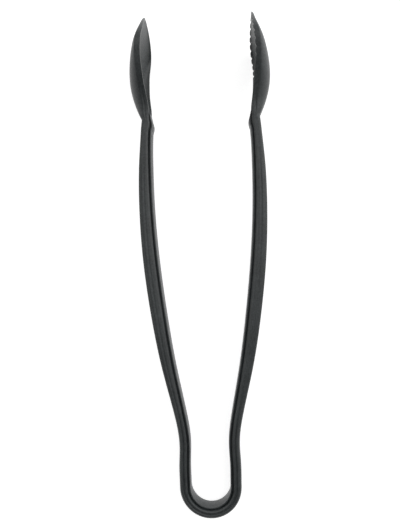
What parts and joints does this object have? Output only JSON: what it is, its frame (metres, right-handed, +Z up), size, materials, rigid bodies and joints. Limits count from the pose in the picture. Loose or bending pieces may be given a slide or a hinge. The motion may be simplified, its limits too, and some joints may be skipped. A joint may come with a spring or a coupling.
{
  "type": "spring loaded kitchen tongs",
  "caption": "Moulded plastic kitchen tongs: a U-shaped spring bow, long bowed arms and spoon jaws, one rim smooth and the other scalloped.",
  "frame": {"origin": "on the table, under the middle of the box round the tongs as they lie on their side", "axes": "+Y from the spring bow to the jaws, +X towards the scalloped jaw, +Z up from the table; the plane of the tongs rises 2.88 degrees towards the jaws, because the jaws are wider than the bow"},
  "size_m": [0.086, 0.3052, 0.0412],
  "materials": {
    "black_plastic": "satin moulded polycarbonate, fine grain, slightly rubbed edges"
  },
  "bodies": {
    "bow": {"bow_crown": "black_plastic"},
    "left_leg_body": {"left_bow_quarter": "black_plastic", "left_leg": "black_plastic"},
    "left_arm_body": {"left_waist": "black_plastic", "left_arm": "black_plastic", "left_smooth_jaw": "black_plastic"},
    "right_leg_body": {"right_bow_quarter": "black_plastic", "right_leg": "black_plastic"},
    "right_arm_body": {"right_waist": "black_plastic", "right_arm": "black_plastic", "right_scalloped_jaw": "black_plastic"}
  },
  "joints": [
    {"name": "left_bow_bend", "type": "hinge", "parent": "bow", "child": "left_leg_body", "pos_m": [-0.01131, -0.14499, 0.00671], "axis": [0, 0.0502, -0.9987], "range_deg": [0, 3.27], "stiffness_Nm_per_rad": 8},
    {"name": "left_leg_bend", "type": "hinge", "parent": "left_leg_body", "child": "left_arm_body", "pos_m": [-0.01569, -0.11172, 0.00839], "axis": [0, 0.0502, -0.9987], "range_deg": [0, 3.27], "stiffness_Nm_per_rad": 6},
    {"name": "right_bow_bend", "type": "hinge", "parent": "bow", "child": "right_leg_body", "pos_m": [0.01131, -0.14499, 0.00671], "axis": [0, -0.0502, 0.9987], "range_deg": [0, 3.27], "stiffness_Nm_per_rad": 8},
    {"name": "right_leg_bend", "type": "hinge", "parent": "right_leg_body", "child": "right_arm_body", "pos_m": [0.01569, -0.11172, 0.00839], "axis": [0, -0.0502, 0.9987], "range_deg": [0, 3.27], "stiffness_Nm_per_rad": 6}
  ],
  "couplings": [
    {"joint": "left_leg_bend", "follows": "left_bow_bend", "ratio": 1},
    {"joint": "right_leg_bend", "follows": "right_bow_bend", "ratio": 1}
  ]
}
